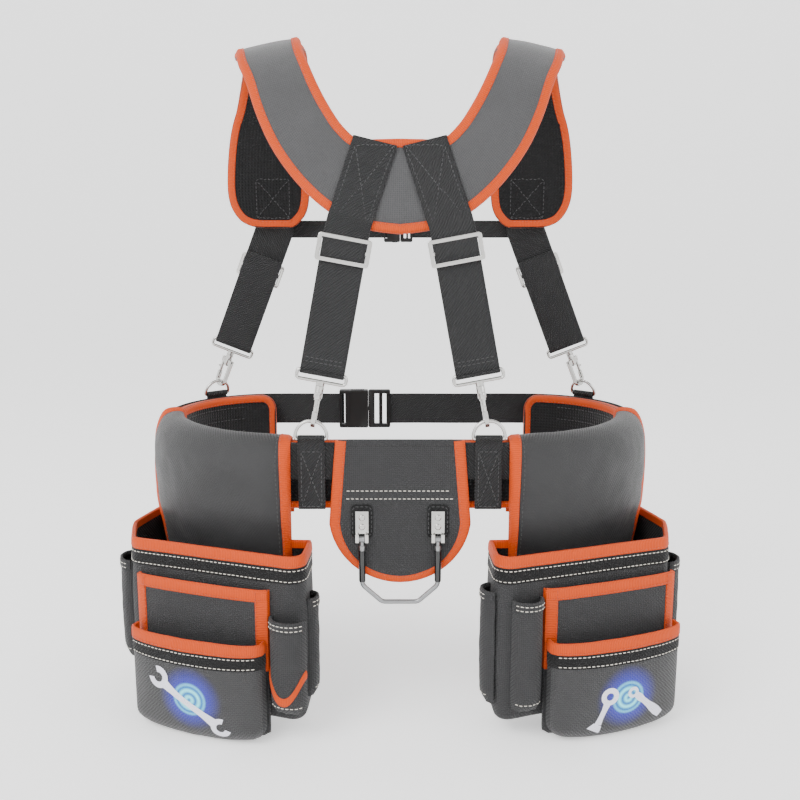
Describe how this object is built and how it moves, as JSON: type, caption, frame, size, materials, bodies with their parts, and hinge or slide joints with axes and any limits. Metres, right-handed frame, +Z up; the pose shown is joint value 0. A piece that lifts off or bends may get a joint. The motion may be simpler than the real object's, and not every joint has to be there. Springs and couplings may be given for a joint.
{
  "type": "tool belt",
  "caption": "Padded waist belt with shoulder yoke, swivel-hook straps, two hanging pouches with sleeves and front pockets, and a hammer holder with a swinging wire loop.",
  "frame": {"origin": "centre of the waist opening, at the middle of the padded belt's height", "axes": "+Z up, +Y towards the wearer's front, +X towards the wearer's right"},
  "size_m": [0.5838, 0.3502, 0.6897],
  "materials": {
    "grey_fabric": "dense woven polyester, matt",
    "spacer_mesh": "knitted spacer mesh over foam",
    "orange_binding": "folded grosgrain tape, sewn on",
    "black_webbing": "ribbed polypropylene webbing",
    "buckle_plastic": "moulded acetal",
    "plated_steel": "nickel plated, polished",
    "loop_steel": "drawn wire with sleeved ends"
  },
  "bodies": {
    "harness": {"padded_belt": "spacer_mesh", "belt_binding": "orange_binding", "waist_webbing": "black_webbing", "back_ring_loops": "black_webbing", "front_ring_loops": "black_webbing", "waist_buckle_socket": "buckle_plastic", "waist_buckle_plug": "buckle_plastic", "chest_strap": "black_webbing", "chest_buckle_socket": "buckle_plastic", "chest_buckle_plug": "buckle_plastic", "yoke_pad": "grey_fabric", "yoke_lining": "spacer_mesh", "yoke_binding": "orange_binding", "back_strap_left": "black_webbing", "back_strap_right": "black_webbing", "front_strap_left": "black_webbing", "front_strap_right": "black_webbing", "swivel_eyes": "plated_steel"},
    "back_ring_left": {"back_ring_left": "plated_steel"},
    "back_hook_left": {"back_hook_left": "plated_steel"},
    "back_bolt_left": {"back_bolt_left": "plated_steel"},
    "back_slider_left": {"back_slider_left": "plated_steel"},
    "back_ring_right": {"back_ring_right": "plated_steel"},
    "back_hook_right": {"back_hook_right": "plated_steel"},
    "back_bolt_right": {"back_bolt_right": "plated_steel"},
    "back_slider_right": {"back_slider_right": "plated_steel"},
    "front_ring_left": {"front_ring_left": "plated_steel"},
    "front_hook_left": {"front_hook_left": "plated_steel"},
    "front_bolt_left": {"front_bolt_left": "plated_steel"},
    "front_slider_left": {"front_slider_left": "plated_steel"},
    "front_ring_right": {"front_ring_right": "plated_steel"},
    "front_hook_right": {"front_hook_right": "plated_steel"},
    "front_bolt_right": {"front_bolt_right": "plated_steel"},
    "front_slider_right": {"front_slider_right": "plated_steel"},
    "hammer_holder": {"holder_panel": "grey_fabric", "holder_binding": "orange_binding", "loop_clips": "plated_steel"},
    "hammer_loop": {"hammer_loop": "loop_steel"},
    "left_pouch": {"left_hanger": "grey_fabric", "left_main_pocket": "grey_fabric", "left_main_rim": "orange_binding", "left_tool_pocket": "grey_fabric", "left_front_pocket": "grey_fabric", "left_front_rim": "orange_binding", "left_tool_sleeves": "grey_fabric"},
    "right_pouch": {"right_hanger": "grey_fabric", "right_main_pocket": "grey_fabric", "right_main_rim": "orange_binding", "right_tool_pocket": "grey_fabric", "right_front_pocket": "grey_fabric", "right_front_rim": "orange_binding", "right_tool_sleeves": "grey_fabric"},
    "waist_prong_upper": {"waist_prong_upper": "buckle_plastic"},
    "waist_prong_lower": {"waist_prong_lower": "buckle_plastic"},
    "chest_prong_upper": {"chest_prong_upper": "buckle_plastic"},
    "chest_prong_lower": {"chest_prong_lower": "buckle_plastic"}
  },
  "joints": [
    {"name": "back_ring_left_tilt", "type": "hinge", "parent": "harness", "child": "back_ring_left", "pos_m": [-0.088, -0.1463, 0.03906], "axis": [1, 0, 0], "range_deg": [-4, 4]},
    {"name": "back_hook_left_swivel", "type": "hinge", "parent": "harness", "child": "back_hook_left", "pos_m": [-0.08454, -0.14475, 0.05999], "axis": [0.1809, 0.0727, 0.9808], "range_deg": [-15, 15]},
    {"name": "back_bolt_left_draw", "type": "slide", "parent": "back_hook_left", "child": "back_bolt_left", "axis": [0.1809, 0.0727, 0.9808], "range_m": [0, 0.006], "stiffness_N_per_m": 300},
    {"name": "back_slider_left_adjust", "type": "slide", "parent": "harness", "child": "back_slider_left", "axis": [-0.1809, -0.0727, -0.9808], "range_m": [0, 0.08]},
    {"name": "back_ring_right_tilt", "type": "hinge", "parent": "harness", "child": "back_ring_right", "pos_m": [0.088, -0.1463, 0.03906], "axis": [1, 0, 0], "range_deg": [-4, 4]},
    {"name": "back_hook_right_swivel", "type": "hinge", "parent": "harness", "child": "back_hook_right", "pos_m": [0.08454, -0.14475, 0.05999], "axis": [-0.1809, 0.0727, 0.9808], "range_deg": [-15, 15]},
    {"name": "back_bolt_right_draw", "type": "slide", "parent": "back_hook_right", "child": "back_bolt_right", "axis": [-0.1809, 0.0727, 0.9808], "range_m": [0, 0.006], "stiffness_N_per_m": 300},
    {"name": "back_slider_right_adjust", "type": "slide", "parent": "harness", "child": "back_slider_right", "axis": [0.1809, -0.0727, -0.9808], "range_m": [0, 0.08]},
    {"name": "front_ring_left_tilt", "type": "hinge", "parent": "harness", "child": "front_ring_left", "pos_m": [-0.22609, 0.10063, 0.03906], "axis": [-0.7694, -0.6388, 0], "range_deg": [-4, 4]},
    {"name": "front_hook_left_swivel", "type": "hinge", "parent": "harness", "child": "front_hook_left", "pos_m": [-0.21866, 0.09851, 0.05885], "axis": [0.3666, -0.084, 0.9266], "range_deg": [-15, 15]},
    {"name": "front_bolt_left_draw", "type": "slide", "parent": "front_hook_left", "child": "front_bolt_left", "axis": [0.3666, -0.084, 0.9266], "range_m": [0, 0.006], "stiffness_N_per_m": 300},
    {"name": "front_slider_left_adjust", "type": "slide", "parent": "harness", "child": "front_slider_left", "axis": [-0.3666, 0.084, -0.9266], "range_m": [0, 0.06]},
    {"name": "front_ring_right_tilt", "type": "hinge", "parent": "harness", "child": "front_ring_right", "pos_m": [0.22609, 0.10063, 0.03906], "axis": [-0.7694, 0.6388, 0], "range_deg": [-4, 4]},
    {"name": "front_hook_right_swivel", "type": "hinge", "parent": "harness", "child": "front_hook_right", "pos_m": [0.21866, 0.09851, 0.05885], "axis": [-0.3666, -0.084, 0.9266], "range_deg": [-15, 15]},
    {"name": "front_bolt_right_draw", "type": "slide", "parent": "front_hook_right", "child": "front_bolt_right", "axis": [-0.3666, -0.084, 0.9266], "range_m": [0, 0.006], "stiffness_N_per_m": 300},
    {"name": "front_slider_right_adjust", "type": "slide", "parent": "harness", "child": "front_slider_right", "axis": [0.3666, 0.084, -0.9266], "range_m": [0, 0.06]},
    {"name": "hammer_holder_shift", "type": "slide", "parent": "harness", "child": "hammer_holder", "axis": [1, 0, 0], "range_m": [-0.003, 0.003]},
    {"name": "hammer_loop_swing", "type": "hinge", "parent": "hammer_holder", "child": "hammer_loop", "pos_m": [0, -0.1542, -0.062], "axis": [-1, 0, 0], "range_deg": [0, 100]},
    {"name": "left_pouch_shift", "type": "hinge", "parent": "harness", "child": "left_pouch", "pos_m": [-0.105, 0.015, 0], "axis": [0, 0, -1], "range_deg": [0, 4]},
    {"name": "right_pouch_shift", "type": "hinge", "parent": "harness", "child": "right_pouch", "pos_m": [0.105, 0.015, 0], "axis": [0, 0, 1], "range_deg": [0, 4]},
    {"name": "waist_prong_upper_squeeze", "type": "hinge", "parent": "harness", "child": "waist_prong_upper", "pos_m": [-0.04, 0.124, 0.03043], "axis": [0, -1, 0], "range_deg": [0, 6], "stiffness_Nm_per_rad": 0.3},
    {"name": "waist_prong_lower_squeeze", "type": "hinge", "parent": "harness", "child": "waist_prong_lower", "pos_m": [-0.04, 0.124, 0.00157], "axis": [0, -1, 0], "range_deg": [-6, 0]},
    {"name": "chest_prong_upper_squeeze", "type": "hinge", "parent": "harness", "child": "chest_prong_upper", "pos_m": [0, 0.0888, 0.2483], "axis": [0, -1, 0], "range_deg": [0, 8], "stiffness_Nm_per_rad": 0.04},
    {"name": "chest_prong_lower_squeeze", "type": "hinge", "parent": "harness", "child": "chest_prong_lower", "pos_m": [0, 0.0888, 0.2297], "axis": [0, -1, 0], "range_deg": [-8, 0]}
  ],
  "couplings": [
    {"joint": "waist_prong_lower_squeeze", "follows": "waist_prong_upper_squeeze", "ratio": -1},
    {"joint": "chest_prong_lower_squeeze", "follows": "chest_prong_upper_squeeze", "ratio": -1}
  ]
}
